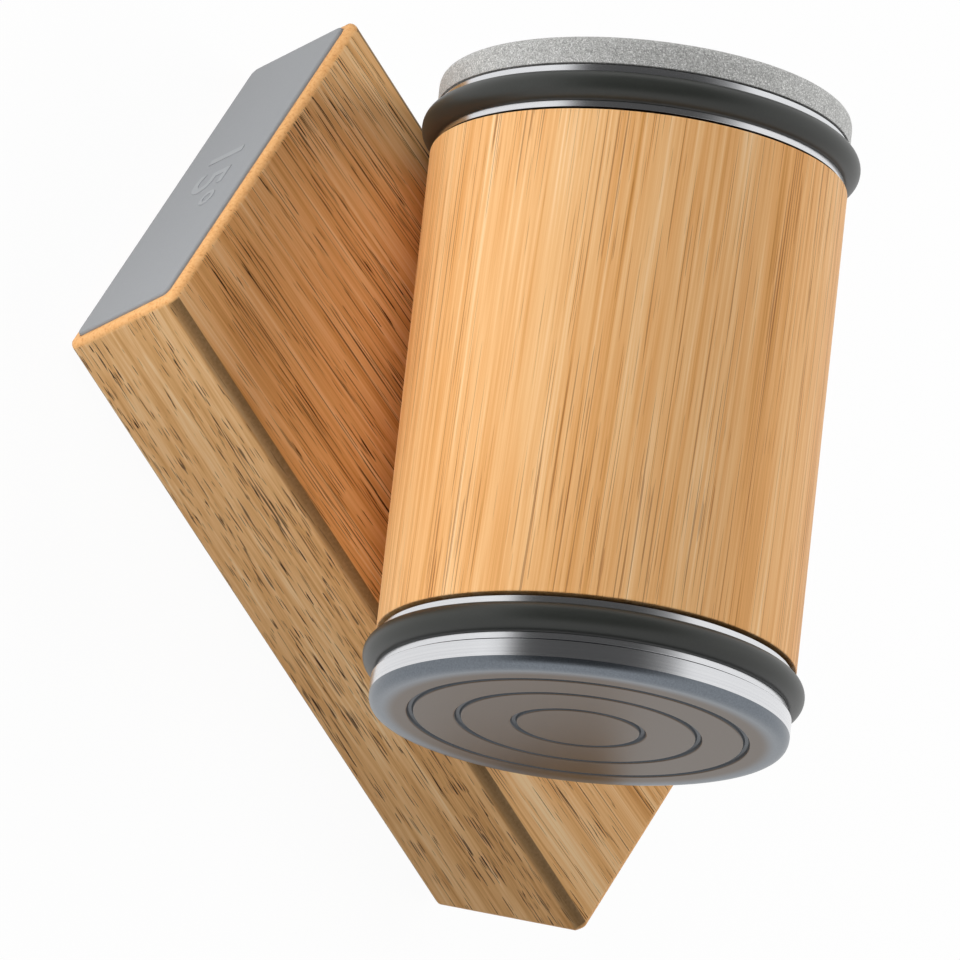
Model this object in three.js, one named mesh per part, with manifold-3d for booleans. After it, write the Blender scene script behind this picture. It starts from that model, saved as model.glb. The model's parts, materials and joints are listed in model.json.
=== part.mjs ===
// Rolling knife sharpener: an oak angle block with magnetic ends, and an oak roller that lies across it.
// Millimetres, +Z up. The origin is on the table, below the middle of the block's top face.
// +X runs along the block from its 15 degree end to its 20 degree end.
import * as THREE from "three";
import { mergeVertices } from "three/addons/utils/BufferGeometryUtils.js";
import Module from "manifold-3d";

const wasm = await Module();
wasm.setup();

// Values shared by every piece
const fit = 0.3; // gap between pieces that touch, slide or screw together
const overrun = 1; // how far a cut passes the face that it opens
const bigSides = 32; // sides of the pieces that show
const smallSides = 16; // sides of the hidden pieces
const screwSides = 8;
const arcSteps = 3;

// Oak block
const blockLength = 120; // along the long top face
const blockWidth = 60;
const blockThick = 23;
const lowAngle = 15; // lean of the end at -X, in degrees
const highAngle = 20; // lean of the end at +X, in degrees
const blockEdge = 1; // rounding along the two long faces' outlines
const blockCorner = 1.1; // rounding where the ends meet top and underside
const edgeSteps = 2;

// Non-slip pad under the block
const footLength = 90;
const footWidth = 46;
const footThick = 1.4;
const footProud = 0.8; // how far it stands out of the block
const footCorner = 5;

// Soft pad on each slanted end
const padInset = 1.4; // wood left all round it
const padThick = 1.8;
const padProud = 0.5;
const padCorner = 1.4;
const padChamfer = 0.25;

// Magnets behind each pad, in a tray, on a steel keeper plate
const magnetRadius = 6.5;
const magnetThick = 5.4;
const magnetCount = 3;
const magnetPitch = 16;
const trayEndWall = 2.2; // beyond the outer magnets
const traySideWall = 1; // above and below them
const trayThick = 6;
const trayCorner = 2;
const keeperThick = 1.5;

// Oak sleeve of the roller
const sleeveRadius = 29.3;
const sleeveHalf = 34.9; // from the middle to each end
const sleeveBore = 11; // radius of the hole right through
const sleeveEdge = 0.4;

// End hub and its tyre
const hubGap = 0.4; // between the sleeve's end and the hub
const hubRadius = 28.8;
const hubThick = 6.2;
const hubEdge = 0.15;
const bossRadius = 10; // presses on the inner race
const tyreRadius = 30.8; // to the outside of the tyre
const cordRadius = 2.1; // half the tyre's own thickness

// Ball bearing, the 15 x 32 x 9 size
const boreRadius = 7.5;
const raceRadius = 16;
const raceWidth = 9;
const ballRadius = 2.38;
const ballCount = 9;
const innerShoulder = 10.35;
const outerShoulder = 13.15;
const cageWall = 1.3;
const cageWidth = 2.4;
const ballSides = 8;
const ballRings = 4;

// Carrier that holds the bearing in the sleeve
const carrierRadius = 23;
const carrierDepth = 14; // from the sleeve's end inwards
const carrierFloor = 2.1; // shoulder under the outer race
const clipThick = 1.2; // retaining ring
const clipDepth = 0.7; // how far it sits in the carrier's wall
const clipWall = 2.6;
const clipOpening = 70; // gap of the ring in degrees
const clipEyeRadius = 2.1;
const screwCount = 3;
const screwWall = 0.4; // plastic left between a screw head's seat and the carrier's side
const screwRadius = 1.1;
const screwHeadRadius = 2.1;
const screwHeadThick = 1.2;
const screwGrip = 8; // length in the wood

// Axle, spacer and ring nut
const axleEndGap = 0.5; // between the axle's end and the hub's outer face
const axleChamfer = 0.6;
const spacerWall = 2.1;
const nutRadius = 12.5;
const nutThick = 2.7;
const nutSlots = 4;
const nutSlotWidth = 2.6;
const nutSlotDepth = 1.8;

// Grinding discs and their studs
const discThick = 4;
const honingRadius = 29.3;
const honingEdge = 1.3;
const grooveRadiusShares = [0.307, 0.573, 0.8]; // of the honing disc's radius
const grooveWidth = 1.1;
const grooveDepth = 0.5;
const diamondRadius = 29;
const diamondEdge = 1.5;
const studRadius = 4.7;
const studInDisc = 1.6;
const studGrip = 5.6; // length in the axle
const studChamfer = 0.8;
const tapSpare = 0.8; // tapped depth below the stud

// Where the roller lies on the block
const rollerYaw = 122; // from +X to the diamond end, in degrees
const rollerShift = -8; // along the block

// Places that follow from the sizes
const blockBottom = footProud;
const blockTop = blockBottom + blockThick;
const hubInner = sleeveHalf + hubGap;
const hubOuter = hubInner + hubThick;
const tyreCentre = tyreRadius - cordRadius;
const tyrePlace = (hubInner + hubOuter) / 2;
const pitchRadius = (innerShoulder + outerShoulder) / 2;
const carrierOuter = sleeveHalf - fit;
const carrierInner = carrierOuter - carrierDepth;
const screwPitchRadius = carrierRadius - screwWall - screwHeadRadius - fit;
const raceInner = carrierInner + carrierFloor + fit;
const raceOuter = raceInner + raceWidth;
const clipInner = raceOuter + fit;
const clipOuter = clipInner + clipThick;
const nutInner = hubOuter - fit - nutThick;
const axleRadius = boreRadius - fit;
const axleEnd = hubOuter - axleEndGap;
const discInner = hubOuter + fit;
const discOuter = discInner + discThick;
const discHole = discInner + studInDisc + fit;

const degrees = THREE.MathUtils.degToRad;

// A closed mesh as a solid that can be cut and joined.
function solidOf(geometry) {
  const bare = geometry.clone();
  bare.deleteAttribute("normal");
  bare.deleteAttribute("uv");
  const merged = mergeVertices(bare);
  return new wasm.Manifold(
    new wasm.Mesh({
      numProp: 3,
      vertProperties: merged.attributes.position.array,
      triVerts: new Uint32Array(merged.index.array),
    }),
  );
}

function geometryOf(solid) {
  const mesh = solid.getMesh();
  const geometry = new THREE.BufferGeometry();
  geometry.setAttribute("position", new THREE.BufferAttribute(new Float32Array(mesh.vertProperties), 3));
  geometry.setIndex(new THREE.BufferAttribute(new Uint32Array(mesh.triVerts), 1));
  geometry.computeVertexNormals();
  return geometry;
}

const cut = (body, tools) =>
  geometryOf(tools.reduce((left, tool) => left.subtract(solidOf(tool)), solidOf(body)));

const join = (body, pieces) =>
  geometryOf(pieces.reduce((whole, piece) => whole.add(solidOf(piece)), solidOf(body)));

// Points of an arc about (x, y), between two angles in degrees.
function arc(x, y, radius, from, to, steps = arcSteps) {
  return Array.from({ length: steps + 1 }, (_, i) => {
    const angle = degrees(from + ((to - from) * i) / steps);
    return [x + radius * Math.cos(angle), y + radius * Math.sin(angle)];
  });
}

// Solid turned about Z from points (radius, height), counterclockwise, from the axis to the axis.
function turned(points, sides = bigSides) {
  const outline = points.map(([radius, height]) => new THREE.Vector2(radius, height));
  return new THREE.LatheGeometry(outline, sides).rotateX(Math.PI / 2);
}

// Ring turned about Z from points (radius, height) that go round counterclockwise.
const ring = (points, sides) => turned([...points, points[0]], sides);

const tube = (inner, outer, low, high, sides = smallSides) =>
  ring([[inner, low], [outer, low], [outer, high], [inner, high]], sides);

const rod = (radius, low, high, sides = smallSides) =>
  turned([[0, low], [radius, low], [radius, high], [0, high]], sides);

// Rod with a chamfer at both ends.
const pin = (radius, low, high, chamfer, sides = smallSides) =>
  turned(
    [
      [0, low],
      [radius - chamfer, low],
      [radius, low + chamfer],
      [radius, high - chamfer],
      [radius - chamfer, high],
      [0, high],
    ],
    sides,
  );

// Outline through corners that go round counterclockwise, each rounded with an arc.
function roundedOutline(corners, radius) {
  const points = corners.map(([x, y]) => new THREE.Vector2(x, y));
  const shape = new THREE.Shape();
  points.forEach((corner, i) => {
    const back = points[(i + points.length - 1) % points.length].clone().sub(corner).normalize();
    const onward = points[(i + 1) % points.length].clone().sub(corner).normalize();
    const half = Math.acos(back.dot(onward)) / 2;
    const middle = back.clone().add(onward).setLength(radius / Math.sin(half)).add(corner);
    const start = back.multiplyScalar(radius / Math.tan(half)).add(corner).sub(middle);
    const end = onward.multiplyScalar(radius / Math.tan(half)).add(corner).sub(middle);
    shape.absarc(middle.x, middle.y, radius, start.angle(), end.angle(), false);
  });
  shape.closePath();
  return shape;
}

const rectangle = (length, height, radius) =>
  roundedOutline(
    [
      [-length / 2, -height / 2],
      [length / 2, -height / 2],
      [length / 2, height / 2],
      [-length / 2, height / 2],
    ],
    radius,
  );

// Plate with rounded corners between two heights, with an optional chamfer round both faces.
function plate(length, height, radius, low, high, chamfer = 0) {
  return new THREE.ExtrudeGeometry(rectangle(length, height, radius), {
    depth: high - low - 2 * chamfer,
    curveSegments: arcSteps,
    bevelEnabled: chamfer > 0,
    bevelThickness: chamfer,
    bevelSize: chamfer,
    bevelOffset: -chamfer,
    bevelSegments: 1,
  }).translate(0, 0, low + chamfer);
}

const finishes = {
  oak: { color: 0xb98a5a, roughness: 0.6, metalness: 0 },
  paleOak: { color: 0xd9a468, roughness: 0.55, metalness: 0 },
  pad: { color: 0xa3a5a8, roughness: 0.7, metalness: 0 },
  foot: { color: 0x3a3b3c, roughness: 0.8, metalness: 0 },
  rubber: { color: 0x454843, roughness: 0.45, metalness: 0 },
  plastic: { color: 0x1c1c1d, roughness: 0.6, metalness: 0 },
  polished: { color: 0xd8d9db, roughness: 0.15, metalness: 1 },
  satin: { color: 0x9aa1a9, roughness: 0.4, metalness: 1 },
  steel: { color: 0xb0b2b5, roughness: 0.3, metalness: 1 },
  nickel: { color: 0xc8c6c0, roughness: 0.25, metalness: 1 },
  diamond: { color: 0xb4b4b2, roughness: 0.85, metalness: 0.2 },
};

function add(group, name, geometry, finish) {
  const mesh = new THREE.Mesh(geometry, new THREE.MeshStandardMaterial(finishes[finish]));
  mesh.name = name;
  group.add(mesh);
  return mesh;
}

// Frame of a slanted end: its centre is the origin, Z points out and Y points up the slope.
function endFrame(side, angle) {
  const lean = degrees(angle);
  const out = new THREE.Vector3(side * Math.cos(lean), 0, -Math.sin(lean));
  const up = new THREE.Vector3(side * Math.sin(lean), 0, Math.cos(lean));
  const across = new THREE.Vector3().crossVectors(up, out);
  const frame = new THREE.Matrix4().makeBasis(across, up, out);
  const reach = blockLength / 2 - (blockThick / 2) * Math.tan(lean);
  return frame.setPosition(side * reach, 0, blockBottom + blockThick / 2);
}

const ends = [
  { label: "15", side: -1, angle: lowAngle },
  { label: "20", side: 1, angle: highAngle },
].map((end) => ({
  ...end,
  frame: endFrame(end.side, end.angle),
  slope: blockThick / Math.cos(degrees(end.angle)),
}));

const seatRadius = magnetRadius + fit;
const trayLength = (magnetCount - 1) * magnetPitch + 2 * (seatRadius + trayEndWall);
const trayHeight = 2 * (seatRadius + traySideWall);
const padBack = padProud - padThick;
const trayFront = padBack - fit;
const trayBack = trayFront - trayThick;
const keeperFront = trayBack - fit;
const keeperBack = keeperFront - keeperThick;

// Oak block: the side view carried across the width with rounded edges, then pocketed.
function blockBody() {
  const topHalf = blockLength / 2;
  const drop = (angle) => blockThick * Math.tan(degrees(angle));
  const profile = roundedOutline(
    [
      [-topHalf + drop(lowAngle), blockBottom],
      [topHalf - drop(highAngle), blockBottom],
      [topHalf, blockTop],
      [-topHalf, blockTop],
    ],
    blockCorner,
  );
  const body = new THREE.ExtrudeGeometry(profile, {
    depth: blockWidth - 2 * blockEdge,
    curveSegments: edgeSteps,
    bevelThickness: blockEdge,
    bevelSize: blockEdge,
    bevelOffset: -blockEdge,
    bevelSegments: edgeSteps,
  })
    .rotateX(Math.PI / 2)
    .translate(0, blockWidth / 2 - blockEdge, 0);
  const footPocket = plate(
    footLength + 2 * fit,
    footWidth + 2 * fit,
    footCorner + fit,
    blockBottom - overrun,
    footThick + fit,
  );
  const pockets = ends.flatMap((end) => [
    plate(
      blockWidth - 2 * padInset + 2 * fit,
      end.slope - 2 * padInset + 2 * fit,
      padCorner + fit,
      padBack - fit,
      overrun,
    ).applyMatrix4(end.frame),
    plate(
      trayLength + 2 * fit,
      trayHeight + 2 * fit,
      trayCorner + fit,
      keeperBack - fit,
      overrun,
    ).applyMatrix4(end.frame),
  ]);
  return cut(body, [footPocket, ...pockets]);
}

function footPad() {
  return plate(footLength, footWidth, footCorner, 0, footThick);
}

const endPad = (end) =>
  plate(blockWidth - 2 * padInset, end.slope - 2 * padInset, padCorner, padBack, padProud, padChamfer);

const magnetPlace = (i) => (i - (magnetCount - 1) / 2) * magnetPitch;

// Tray with one round seat for each magnet.
function magnetTray() {
  const seats = Array.from({ length: magnetCount }, (_, i) =>
    rod(seatRadius, trayBack - overrun, trayFront + overrun).translate(magnetPlace(i), 0, 0),
  );
  return cut(plate(trayLength, trayHeight, trayCorner, trayBack, trayFront), seats);
}

function magnet(i) {
  const low = (trayFront + trayBack - magnetThick) / 2;
  return rod(magnetRadius, low, low + magnetThick).translate(magnetPlace(i), 0, 0);
}

const keeperPlate = () => plate(trayLength, trayHeight, trayCorner, keeperBack, keeperFront);

function angleBlock() {
  const group = new THREE.Group();
  add(group, "block_body", blockBody(), "oak");
  add(group, "foot_pad", footPad(), "foot");
  for (const end of ends) {
    const place = new THREE.Group();
    end.frame.decompose(place.position, place.quaternion, place.scale);
    add(place, `pad_${end.label}`, endPad(end), "pad");
    add(place, `magnet_tray_${end.label}`, magnetTray(), "plastic");
    add(place, `keeper_plate_${end.label}`, keeperPlate(), "steel");
    for (let i = 0; i < magnetCount; i += 1) {
      add(place, `magnet_${end.label}_${i + 1}`, magnet(i), "nickel");
    }
    group.add(place);
  }
  return group;
}

// The same piece at every screw's place, turned about the roller's axis.
const atScrews = (piece) =>
  Array.from({ length: screwCount }, (_, i) =>
    piece()
      .translate(screwPitchRadius, 0, 0)
      .rotateZ((2 * Math.PI * i) / screwCount),
  );

// Both ends of a tool, the second one turned over to the honing end.
const bothEnds = (tools) => [...tools, ...tools.map((tool) => tool.clone().rotateX(Math.PI))];

// Oak sleeve: a thick tube with a seat for a bearing carrier in each end.
function sleeve() {
  const outside = sleeveRadius;
  const seat = carrierRadius + fit;
  const floor = carrierInner - fit;
  const body = ring([
    [outside - sleeveEdge, -sleeveHalf],
    [outside, -sleeveHalf + sleeveEdge],
    [outside, sleeveHalf - sleeveEdge],
    [outside - sleeveEdge, sleeveHalf],
    [seat, sleeveHalf],
    [seat, floor],
    [sleeveBore, floor],
    [sleeveBore, -floor],
    [seat, -floor],
    [seat, -sleeveHalf],
  ]);
  const pilots = atScrews(() =>
    rod(screwRadius + fit, carrierInner - screwGrip - fit, carrierInner, screwSides),
  );
  return cut(body, bothEnds(pilots));
}

// Bearing carrier: a cup with a shoulder under the bearing and a groove for the retaining ring.
function carrier() {
  const seat = raceRadius + fit;
  const groove = seat + clipDepth;
  const body = ring(
    [
      [outerShoulder, carrierInner],
      [carrierRadius, carrierInner],
      [carrierRadius, carrierOuter],
      [seat, carrierOuter],
      [seat, clipOuter + fit],
      [groove, clipOuter + fit],
      [groove, clipInner - fit],
      [seat, clipInner - fit],
      [seat, carrierInner + carrierFloor],
      [outerShoulder, carrierInner + carrierFloor],
    ],
    bigSides,
  );
  const holes = atScrews(() =>
    turned(
      [
        [0, carrierInner - overrun],
        [screwRadius + fit, carrierInner - overrun],
        [screwRadius + fit, carrierOuter - screwHeadThick - fit],
        [screwHeadRadius + fit, carrierOuter - fit],
        [screwHeadRadius + fit, carrierOuter + overrun],
        [0, carrierOuter + overrun],
      ],
      screwSides,
    ),
  );
  return cut(body, holes);
}

// Countersunk wood screw with a pointed tip.
function carrierScrew(i) {
  const top = carrierOuter - fit;
  const tip = carrierInner - screwGrip;
  return turned(
    [
      [0, tip],
      [screwRadius, tip + 2 * screwRadius],
      [screwRadius, top - screwHeadThick],
      [screwHeadRadius, top],
      [0, top],
    ],
    screwSides,
  )
    .translate(screwPitchRadius, 0, 0)
    .rotateZ((2 * Math.PI * i) / screwCount);
}

// Half the width of the ball track where it meets a race's shoulder.
const trackRadius = ballRadius + fit;
const trackAngle = THREE.MathUtils.radToDeg(Math.acos((pitchRadius - innerShoulder) / trackRadius));
const raceMiddle = (raceInner + raceOuter) / 2;

const innerRace = () =>
  ring(
    [
      [boreRadius, raceInner],
      [innerShoulder, raceInner],
      ...arc(pitchRadius, raceMiddle, trackRadius, 180 + trackAngle, 180 - trackAngle),
      [innerShoulder, raceOuter],
      [boreRadius, raceOuter],
    ],
    smallSides,
  );

const outerRace = () =>
  ring(
    [
      [outerShoulder, raceInner],
      [raceRadius, raceInner],
      [raceRadius, raceOuter],
      [outerShoulder, raceOuter],
      ...arc(pitchRadius, raceMiddle, trackRadius, trackAngle, -trackAngle),
    ],
    bigSides,
  );

// Balls joined by the cage that spaces them.
function ballSet() {
  const half = cageWidth / 2;
  const wall = cageWall / 2;
  const cage = tube(pitchRadius - wall, pitchRadius + wall, raceMiddle - half, raceMiddle + half);
  const balls = Array.from({ length: ballCount }, (_, i) =>
    new THREE.SphereGeometry(ballRadius, ballSides, ballRings)
      .translate(pitchRadius, 0, raceMiddle)
      .rotateZ((2 * Math.PI * i) / ballCount),
  );
  return join(cage, balls);
}

// Open spring ring with an eye at each end, for pliers.
function retainingRing() {
  const outside = raceRadius + clipDepth;
  const inside = outside - clipWall;
  const middle = (outside + inside) / 2;
  const start = clipOpening / 2;
  const shape = new THREE.Shape();
  const steps = bigSides - 2 * arcSteps;
  const outer = arc(0, 0, outside, start, 360 - start, steps);
  const inner = arc(0, 0, inside, 360 - start, start, steps);
  shape.setFromPoints([...outer, ...inner].map(([x, y]) => new THREE.Vector2(x, y)));
  const body = new THREE.ExtrudeGeometry(shape, { depth: clipThick, bevelEnabled: false }).translate(
    0,
    0,
    clipInner,
  );
  const eyes = [start, -start].map((angle) =>
    rod(clipEyeRadius, clipInner, clipOuter, screwSides)
      .translate(middle - clipEyeRadius / 2, 0, 0)
      .rotateZ(degrees(angle)),
  );
  return join(body, eyes);
}

// Axle with a tapped hole in each end.
function axle() {
  const bottom = discInner - studGrip - tapSpare;
  const tap = rod(studRadius + fit, bottom, axleEnd + overrun);
  return cut(pin(axleRadius, -axleEnd, axleEnd, axleChamfer), bothEnds([tap]));
}

const spacer = () => tube(boreRadius, boreRadius + spacerWall, -raceInner + fit, raceInner - fit);

// End hub: a disc with a boss, a round groove for the tyre and a recess for the ring nut.
function hub() {
  const seat = cordRadius + fit;
  const side = hubRadius - tyreCentre;
  const open = THREE.MathUtils.radToDeg(Math.acos(side / seat));
  return ring([
    [boreRadius, raceOuter + fit],
    [bossRadius, raceOuter + fit],
    [bossRadius, hubInner],
    [hubRadius - hubEdge, hubInner],
    [hubRadius, hubInner + hubEdge],
    ...arc(tyreCentre, tyrePlace, seat, 360 - open, open, 2 * arcSteps),
    [hubRadius, hubOuter - hubEdge],
    [hubRadius - hubEdge, hubOuter],
    [nutRadius + fit, hubOuter],
    [nutRadius + fit, nutInner - fit],
    [boreRadius, nutInner - fit],
  ]);
}

const tyre = () =>
  ring(arc(tyreCentre, tyrePlace, cordRadius, 0, 360, 3 * arcSteps).slice(0, -1));

// Ring nut with slots for a hook spanner.
function ringNut() {
  const body = tube(boreRadius, nutRadius, nutInner, nutInner + nutThick, bigSides);
  const slots = Array.from({ length: nutSlots }, (_, i) =>
    new THREE.BoxGeometry(2 * nutSlotDepth, nutSlotWidth, nutThick + 2 * overrun)
      .translate(nutRadius, 0, nutInner + nutThick / 2)
      .rotateZ((2 * Math.PI * i) / nutSlots),
  );
  return cut(body, slots);
}

// Threaded stud, drawn at the thread's outer size.
const stud = () => pin(studRadius, discInner - studGrip, discInner + studInDisc, studChamfer);

// Honing disc: rounded rim, flat face and concentric grooves, with a blind hole for its stud.
function honingDisc() {
  const face = discOuter;
  const grooves = [...grooveRadiusShares].reverse().flatMap((share) => {
    const middle = share * honingRadius;
    return [
      [middle + grooveWidth / 2, face],
      [middle + grooveWidth / 4, face - grooveDepth],
      [middle - grooveWidth / 4, face - grooveDepth],
      [middle - grooveWidth / 2, face],
    ];
  });
  return turned([
    [0, discHole],
    [studRadius + fit, discHole],
    [studRadius + fit, discInner],
    [honingRadius, discInner],
    ...arc(honingRadius - honingEdge, face - honingEdge, honingEdge, 0, 90),
    ...grooves,
    [0, face],
  ]);
}

const diamondDisc = () =>
  turned([
    [0, discHole],
    [studRadius + fit, discHole],
    [studRadius + fit, discInner],
    [diamondRadius, discInner],
    ...arc(diamondRadius - diamondEdge, discOuter - diamondEdge, diamondEdge, 0, 90),
    [0, discOuter],
  ]);

// Height of the roller's axis over the block's top when its tyres rest on the block's long edges.
// It is the least height at which no point of a tyre or of the sleeve is nearer than the fit.
function seatHeight() {
  const yaw = degrees(rollerYaw);
  const flat = blockWidth / 2 - blockEdge;
  const topAt = (y) => {
    const past = Math.max(Math.abs(y) - flat, 0);
    return past > blockEdge ? -Infinity : Math.sqrt(blockEdge ** 2 - past ** 2) - blockEdge;
  };
  const around = arc(0, 0, 1, -90, 90, bigSides * arcSteps);
  const section = arc(tyreCentre, tyrePlace, cordRadius, -90, 90, bigSides);
  const heights = section.flatMap(([radius, along]) =>
    around.map(([down, aside]) => {
      const y = along * Math.sin(yaw) + radius * aside * Math.cos(yaw);
      return topAt(y) + radius * down;
    }),
  );
  return Math.max(sleeveRadius, ...heights) + fit;
}

// Everything at one end of the roller, drawn at the diamond end.
function rollerEnd(label) {
  const group = new THREE.Group();
  add(group, `bearing_carrier_${label}`, carrier(), "plastic");
  for (let i = 0; i < screwCount; i += 1) {
    add(group, `carrier_screw_${label}_${i + 1}`, carrierScrew(i), "steel");
  }
  add(group, `outer_race_${label}`, outerRace(), "steel");
  add(group, `retaining_ring_${label}`, retainingRing(), "steel");
  add(group, `ball_set_${label}`, ballSet(), "steel");
  add(group, `inner_race_${label}`, innerRace(), "steel");
  add(group, `hub_${label}`, hub(), "polished");
  add(group, `tyre_${label}`, tyre(), "rubber");
  add(group, `ring_nut_${label}`, ringNut(), "steel");
  add(group, `stud_${label}`, stud(), "steel");
  return group;
}

function roller() {
  const group = new THREE.Group();
  add(group, "sleeve", sleeve(), "paleOak");
  add(group, "axle", axle(), "steel");
  add(group, "axle_spacer", spacer(), "steel");
  const diamondEnd = rollerEnd("diamond");
  add(diamondEnd, "diamond_disc", diamondDisc(), "diamond");
  const honingEnd = rollerEnd("honing");
  add(honingEnd, "honing_disc", honingDisc(), "satin");
  honingEnd.rotation.x = Math.PI;
  group.add(diamondEnd, honingEnd);
  group.position.set(rollerShift, 0, blockTop + seatHeight());
  group.rotation.set(0, Math.PI / 2, degrees(rollerYaw), "ZYX");
  return group;
}

const sharpener = new THREE.Group();
sharpener.add(angleBlock(), roller());

export default sharpener;
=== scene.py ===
"""Looks of a rolling knife sharpener: an oak roller that lies across an oak block with slanted ends.

Everything is in metres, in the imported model's own frame. Places and sizes come from its nodes, joints
and mounts; what they don't hold, such as an easing or a grain width, is a named value below.
"""

import json
import math

import bmesh
import bpy
import numpy as np
from mathutils import Matrix, Vector


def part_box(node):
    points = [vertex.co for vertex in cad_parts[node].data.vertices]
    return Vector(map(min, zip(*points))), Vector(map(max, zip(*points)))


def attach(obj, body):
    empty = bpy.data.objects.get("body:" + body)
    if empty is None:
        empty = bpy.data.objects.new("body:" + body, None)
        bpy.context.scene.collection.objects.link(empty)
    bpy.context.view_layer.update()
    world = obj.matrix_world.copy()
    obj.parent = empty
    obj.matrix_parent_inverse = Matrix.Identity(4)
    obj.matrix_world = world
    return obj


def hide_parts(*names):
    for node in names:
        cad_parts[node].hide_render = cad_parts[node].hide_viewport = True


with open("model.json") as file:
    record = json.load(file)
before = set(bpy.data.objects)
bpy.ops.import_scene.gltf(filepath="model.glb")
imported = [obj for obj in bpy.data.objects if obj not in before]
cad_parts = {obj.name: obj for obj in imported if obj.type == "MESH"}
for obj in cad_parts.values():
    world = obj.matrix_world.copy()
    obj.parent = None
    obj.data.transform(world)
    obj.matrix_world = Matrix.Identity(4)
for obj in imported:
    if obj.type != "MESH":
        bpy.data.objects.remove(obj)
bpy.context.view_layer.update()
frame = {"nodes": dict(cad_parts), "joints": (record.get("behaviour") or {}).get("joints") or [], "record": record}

mm = 0.001
joints = {joint["name"]: joint for joint in frame["joints"]}
mounts = {mount["name"]: mount for mount in frame["record"]["mounts"]}

# The roller's own frame: its middle, the direction of its diamond end, and two directions across it
middle = np.array(joints["wheel_spin"]["pos_m"])
along = np.array(joints["wheel_spin"]["axis"])
upward = np.array([0.0, 0.0, 1.0])
across = np.cross(upward, along)
roller_yaw = math.atan2(along[1], along[0])

# Fineness of the surfaces
round_sides = 256
tyre_sides = 48
tyre_seat_steps = 24
ease_steps = 6
side_steps = 3
hold = 0.12 * mm  # flat kept beside an easing, so that its shading doesn't spread
merge_distance = 1e-4 * mm
crease = 28  # degrees past which an edge shows sharp
thread_crease = 40

# Turned pieces
fit = 0.3 * mm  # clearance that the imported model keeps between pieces
sleeve_edge = 0.18 * mm
hub_gap = 0.4 * mm
hub_edge = 0.12 * mm
boss_step = 0.35 * mm  # by which a hub's boss is smaller than the bearing's inner race
small_edge = 0.1 * mm
tyre_section = 2.15 * mm
disc_seam = 0.18 * mm
honing_rim = 1.7 * mm
diamond_rim = 1.5 * mm
reflection_fade = 2.2 * mm  # width over which the painted reflection of the wood on the honing face fades out
groove_radius_shares = np.array([0.8, 0.573, 0.307])  # of the honing disc's radius
groove_width = 1.0 * mm
groove_depth = 0.5 * mm
groove_edge = 0.12 * mm
hole_depth = 1.9 * mm  # of the stud's blind hole in a disc
face_middle = 3 * mm  # radius of the flat piece in the middle of a disc
thread_pitch = 1.5 * mm
thread_depth = 0.85 * mm
thread_lead = 0.8 * mm  # length over which the thread starts
thread_flat = 1 / 6  # share of half a pitch that is flat at the crest, and again at the root
thread_steps = 14  # points along one pitch
thread_sides = 64

# Block, pads and numerals
long_edge = 1.4 * mm  # easing of the four long edges
end_edge = 0.95 * mm  # easing round the slanted ends
edge_power = 1.35  # 2 gives a round long edge, 1 a flat chamfer
pad_thick = 1.8 * mm
pad_proud = 0.5 * mm
pad_margin = 1.5 * mm  # wood left round a pad
pad_groove = 0.06 * mm
pad_corner = 1.3 * mm
pad_edge = 0.35 * mm
numeral_height = 8 * mm
numeral_relief = 0.05 * mm
numeral_edge = 0.06 * mm
foot_corner = 5 * mm
foot_edge = 0.3 * mm

# Angle of the grain from the length of the block, and of the sleeve's grain, which winds round it
block_lean = math.radians(2)
sleeve_lean = math.radians(2.5)


# Surfaces


def linked(name, data, finishes=()):
    """A new object of some data in the scene, with its finishes."""
    for finish in finishes:
        data.materials.append(finish)
    made = bpy.data.objects.new(name, data)
    bpy.context.scene.collection.objects.link(made)
    return made


def eased(corners, easing, closed=False):
    """Outline through corners, each cut back by its easing on both sides and joined by a parabola.

    The parabola from a to b with the corner c as control is (1-t)^2 a + 2t(1-t) c + t^2 b. A point
    outside each end of it holds the flat beside it. An open outline keeps its two end points.
    """
    corners = np.asarray(corners, float)
    easing = np.broadcast_to(np.asarray(easing, float), len(corners))[:, None]
    back = np.roll(corners, 1, 0) - corners
    onward = np.roll(corners, -1, 0) - corners
    back /= np.linalg.norm(back, axis=1)[:, None]
    onward /= np.linalg.norm(onward, axis=1)[:, None]
    start = (corners + back * easing)[:, None]
    end = (corners + onward * easing)[:, None]
    t = np.linspace(0, 1, ease_steps + 1)[None, :, None]
    bend = (1 - t) ** 2 * start + 2 * t * (1 - t) * corners[:, None] + t**2 * end
    held = [start + back[:, None] * hold, bend, end + onward[:, None] * hold]
    outline = np.concatenate(held, axis=1)
    if closed:
        return outline.reshape(-1, 2)
    return np.concatenate([corners[:1], outline[1:-1].reshape(-1, 2), corners[-1:]])


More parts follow.
